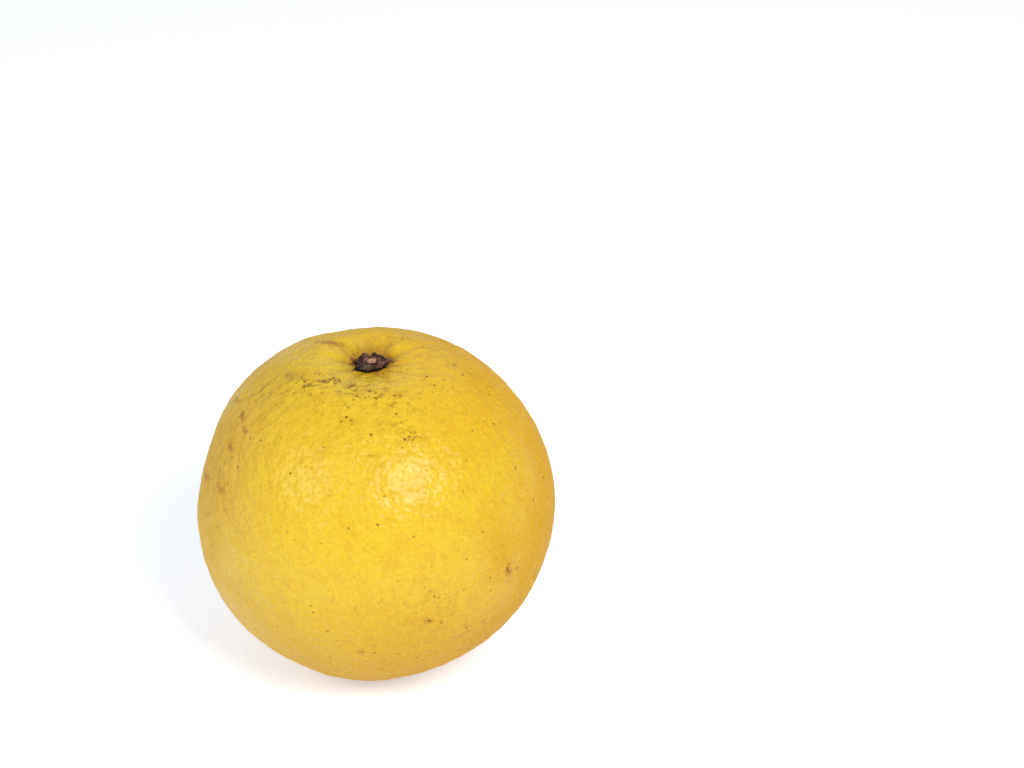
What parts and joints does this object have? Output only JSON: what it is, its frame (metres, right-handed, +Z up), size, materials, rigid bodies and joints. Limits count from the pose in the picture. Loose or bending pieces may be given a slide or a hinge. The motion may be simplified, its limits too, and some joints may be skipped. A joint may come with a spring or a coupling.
{
  "type": "pomelo",
  "caption": "Whole round pomelo fruit with a pitted waxy yellow peel, standing on its blossom end, with a dried lobed calyx and a stub of stem in a furrowed basin at the top.",
  "frame": {"origin": "on the surface that the fruit stands on, in the middle of its outline seen from above", "axes": "+Z up through the stem end; -Y is the side that the picture shows; +X is the picture's right"},
  "size_m": [0.1314, 0.1302, 0.1236],
  "materials": {
    "peel": "waxy, satin, pitted with oil glands, with fine brown specks and rubbed scars",
    "calyx": "dry, matt, wrinkled",
    "stem_wood": "dry, matt, broken across the grain"
  },
  "bodies": {
    "root": {"fruit": "peel", "calyx": "calyx", "stem_stub": "stem_wood"}
  },
  "joints": []
}
